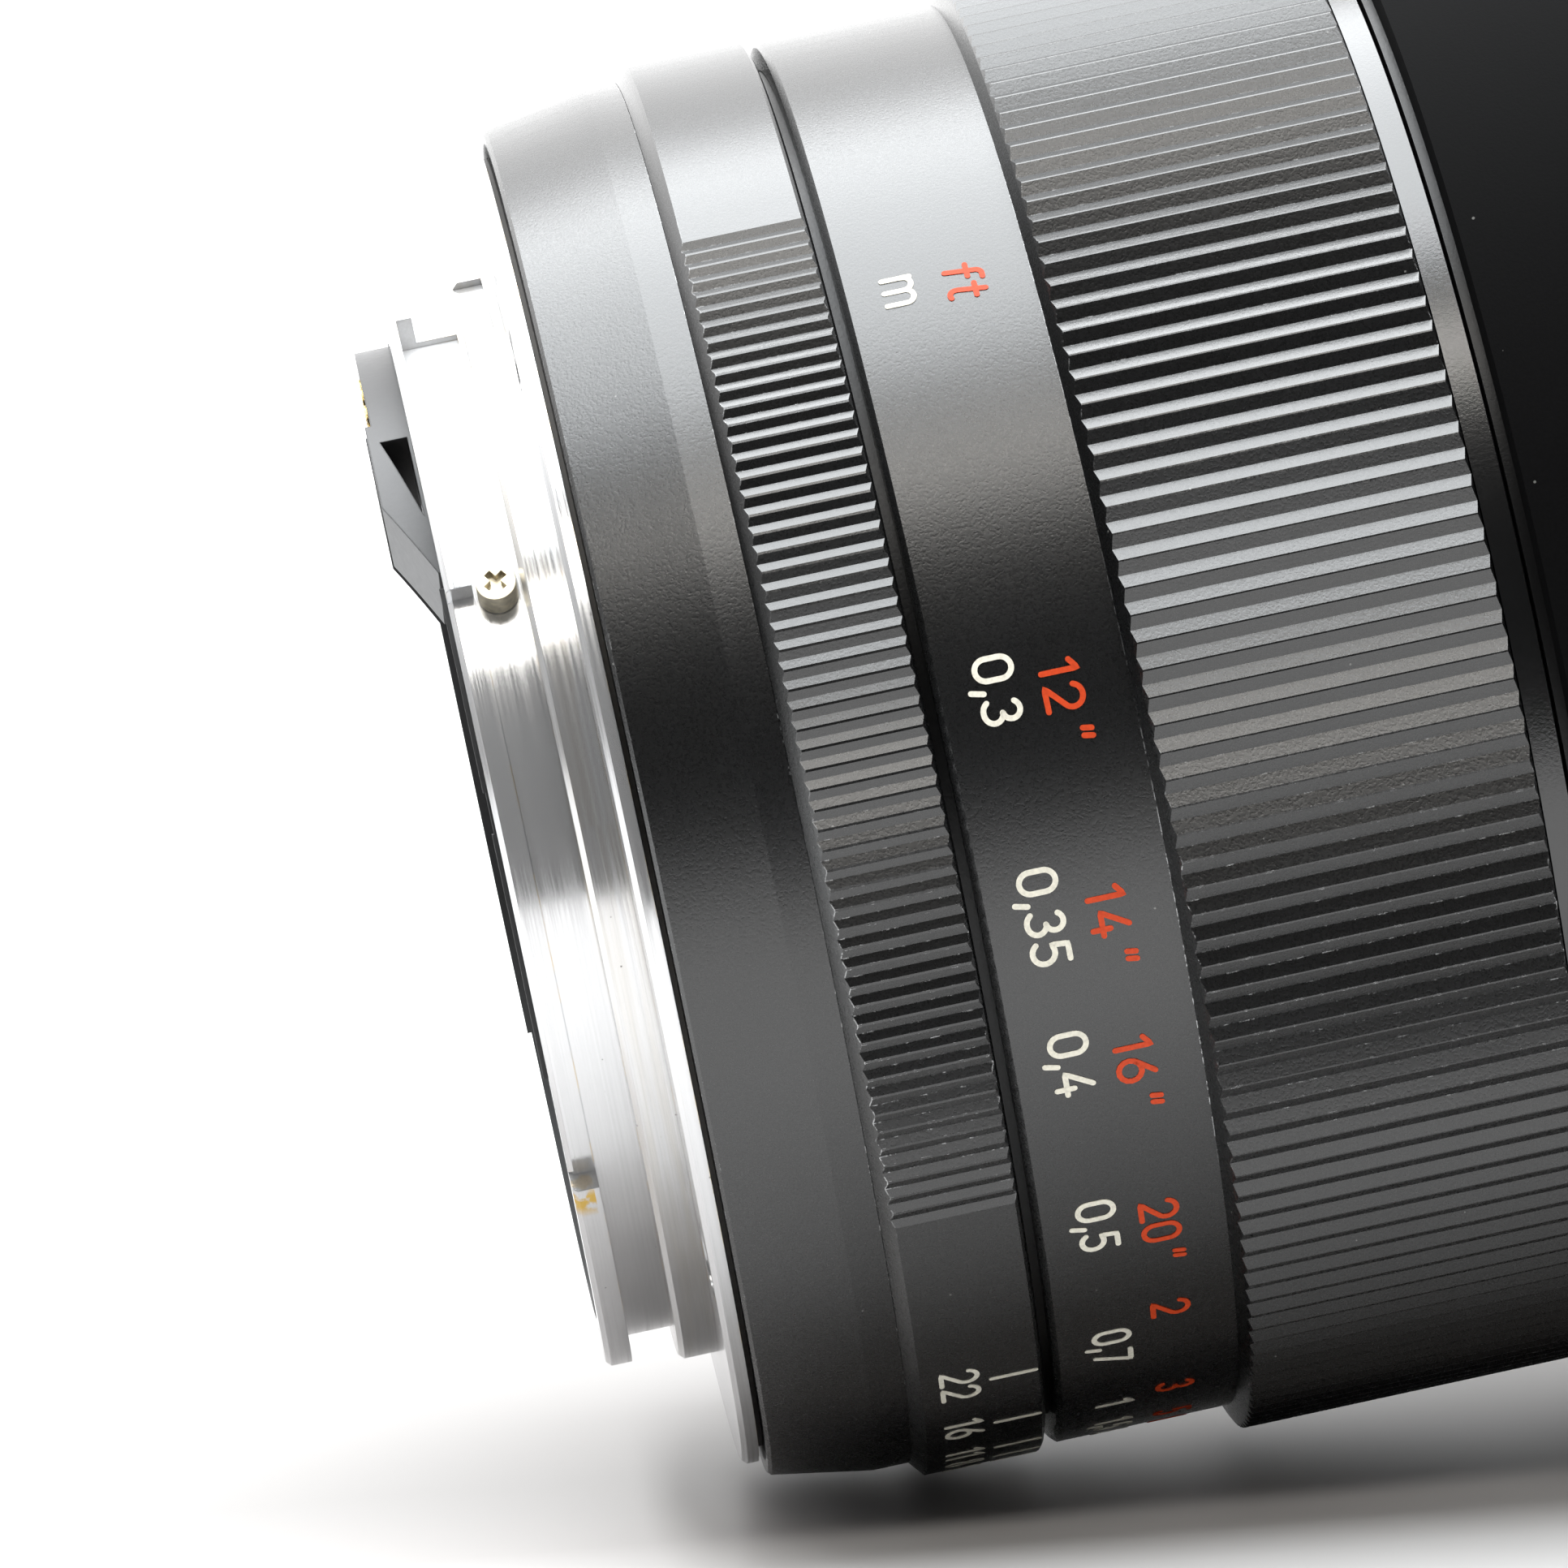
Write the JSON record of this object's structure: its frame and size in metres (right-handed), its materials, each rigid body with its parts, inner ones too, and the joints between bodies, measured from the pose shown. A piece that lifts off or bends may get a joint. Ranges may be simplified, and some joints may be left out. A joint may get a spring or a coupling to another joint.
{
  "type": "prime camera lens",
  "caption": "Manual-focus prime lens with chrome bayonet, ribbed metal focusing ring with distance scale, depth-of-field ring, leaf diaphragm and petal hood.",
  "frame": {"origin": "centre of the bayonet spigot where it meets the flange seat", "axes": "+X along the optical axis towards the subject, -X into the camera; -Z carries the focusing index, +Z the electrical contact block"},
  "size_m": [0.0834, 0.0844, 0.087],
  "materials": {
    "chrome_mount": "turned, satin chrome on brass",
    "screw_steel": "machined",
    "stop_screw_gold": "pale plated screw",
    "contact_plastic": "moulded black",
    "contact_gold": "gold plated",
    "screw_black": "blackened",
    "baffle_black": "matt black",
    "shim_brass": "rolled",
    "anodised_black": "black anodised, satin",
    "index_bead": "moulded red",
    "anodised_scale": "black anodised, satin",
    "inner_barrel": "black anodised",
    "key_brass": "machined",
    "board_green": "solder mask",
    "anodised_grip": "black anodised, satin",
    "anodised_front": "black anodised, satin",
    "helicoid_brass": "greased thread",
    "carrier_black": "black anodised",
    "cell_black": "matt black",
    "retainer_black": "matt black",
    "name_black": "matt black",
    "filter_black": "black anodised",
    "hood_chrome": "satin chrome",
    "drive_plastic": "moulded black",
    "cam_brass": "rolled",
    "anodised_hood": "black anodised, satin",
    "coated_glass": "multi-coated, polished",
    "blade_black": "matt black"
  },
  "bodies": {
    "barrel": {"bayonet_mount": "chrome_mount", "mount_screws": "screw_steel", "bayonet_stop_screw": "stop_screw_gold", "contact_block": "contact_plastic", "contact_pads": "contact_gold", "contact_block_screws": "screw_black", "rear_baffle": "baffle_black", "mount_shim": "shim_brass", "rear_barrel": "anodised_black", "alignment_bead": "index_bead", "depth_scale_ring": "anodised_scale", "main_barrel": "inner_barrel", "guide_tube": "inner_barrel", "guide_keys": "key_brass", "circuit_board": "board_green"},
    "focusing_ring": {"focus_ring": "anodised_grip", "focus_front_ring": "anodised_front", "focus_helicoid": "helicoid_brass"},
    "optical_block": {"front_barrel": "carrier_black", "front_cell": "cell_black", "rear_cell": "cell_black", "front_retaining_ring": "retainer_black", "rear_retaining_ring": "retainer_black", "element_spacer": "retainer_black", "name_ring": "name_black", "filter_ring": "filter_black", "hood_mount_ring": "hood_chrome", "iris_housing": "cell_black", "iris_drive": "drive_plastic", "element_1": "coated_glass", "element_2": "coated_glass", "element_3": "coated_glass", "element_4": "coated_glass", "element_5": "coated_glass", "element_6": "coated_glass", "element_7": "coated_glass", "element_8": "coated_glass", "element_9": "coated_glass"},
    "cam": {"iris_cam_ring": "cam_brass"},
    "hood": {"lens_hood": "anodised_hood"},
    "blade_1": {"iris_blade_1": "blade_black"},
    "blade_2": {"iris_blade_2": "blade_black"},
    "blade_3": {"iris_blade_3": "blade_black"},
    "blade_4": {"iris_blade_4": "blade_black"},
    "blade_5": {"iris_blade_5": "blade_black"},
    "blade_6": {"iris_blade_6": "blade_black"},
    "blade_7": {"iris_blade_7": "blade_black"},
    "blade_8": {"iris_blade_8": "blade_black"},
    "blade_9": {"iris_blade_9": "blade_black"}
  },
  "joints": [
    {"name": "focus_turn", "type": "hinge", "parent": "barrel", "child": "focusing_ring", "pos_m": [0.025, 0, 0], "axis": [1, 0, 0], "range_deg": [0, 94]},
    {"name": "focus_extension", "type": "slide", "parent": "barrel", "child": "optical_block", "axis": [1, 0, 0], "range_m": [0, 0.007]},
    {"name": "iris_drive_turn", "type": "hinge", "parent": "optical_block", "child": "cam", "pos_m": [0.0238, 0, 0], "axis": [1, 0, 0], "range_deg": [0, 52]},
    {"name": "hood_twist", "type": "hinge", "parent": "optical_block", "child": "hood", "pos_m": [0.049, 0, 0], "axis": [1, 0, 0], "range_deg": [-50, 0]},
    {"name": "blade_1_swing", "type": "hinge", "parent": "optical_block", "child": "blade_1", "pos_m": [0.022, 0, 0.0155], "axis": [1, 0, 0], "range_deg": [0, 34.5]},
    {"name": "blade_2_swing", "type": "hinge", "parent": "optical_block", "child": "blade_2", "pos_m": [0.022, -0.00996, 0.01187], "axis": [1, 0, 0], "range_deg": [0, 34.5]},
    {"name": "blade_3_swing", "type": "hinge", "parent": "optical_block", "child": "blade_3", "pos_m": [0.022, -0.01526, 0.00269], "axis": [1, 0, 0], "range_deg": [0, 34.5]},
    {"name": "blade_4_swing", "type": "hinge", "parent": "optical_block", "child": "blade_4", "pos_m": [0.022, -0.01342, -0.00775], "axis": [1, 0, 0], "range_deg": [0, 34.5]},
    {"name": "blade_5_swing", "type": "hinge", "parent": "optical_block", "child": "blade_5", "pos_m": [0.022, -0.0053, -0.01457], "axis": [1, 0, 0], "range_deg": [0, 34.5]},
    {"name": "blade_6_swing", "type": "hinge", "parent": "optical_block", "child": "blade_6", "pos_m": [0.022, 0.0053, -0.01457], "axis": [1, 0, 0], "range_deg": [0, 34.5]},
    {"name": "blade_7_swing", "type": "hinge", "parent": "optical_block", "child": "blade_7", "pos_m": [0.022, 0.01342, -0.00775], "axis": [1, 0, 0], "range_deg": [0, 34.5]},
    {"name": "blade_8_swing", "type": "hinge", "parent": "optical_block", "child": "blade_8", "pos_m": [0.022, 0.01526, 0.00269], "axis": [1, 0, 0], "range_deg": [0, 34.5]},
    {"name": "blade_9_swing", "type": "hinge", "parent": "optical_block", "child": "blade_9", "pos_m": [0.022, 0.00996, 0.01187], "axis": [1, 0, 0], "range_deg": [0, 34.5]}
  ],
  "couplings": [
    {"joint": "focus_extension", "follows": "focus_turn", "m_per_rad": 0.004236},
    {"joint": "blade_1_swing", "follows": "iris_drive_turn", "ratio": 0.66346},
    {"joint": "blade_2_swing", "follows": "iris_drive_turn", "ratio": 0.66346},
    {"joint": "blade_3_swing", "follows": "iris_drive_turn", "ratio": 0.66346},
    {"joint": "blade_4_swing", "follows": "iris_drive_turn", "ratio": 0.66346},
    {"joint": "blade_5_swing", "follows": "iris_drive_turn", "ratio": 0.66346},
    {"joint": "blade_6_swing", "follows": "iris_drive_turn", "ratio": 0.66346},
    {"joint": "blade_7_swing", "follows": "iris_drive_turn", "ratio": 0.66346},
    {"joint": "blade_8_swing", "follows": "iris_drive_turn", "ratio": 0.66346},
    {"joint": "blade_9_swing", "follows": "iris_drive_turn", "ratio": 0.66346}
  ]
}
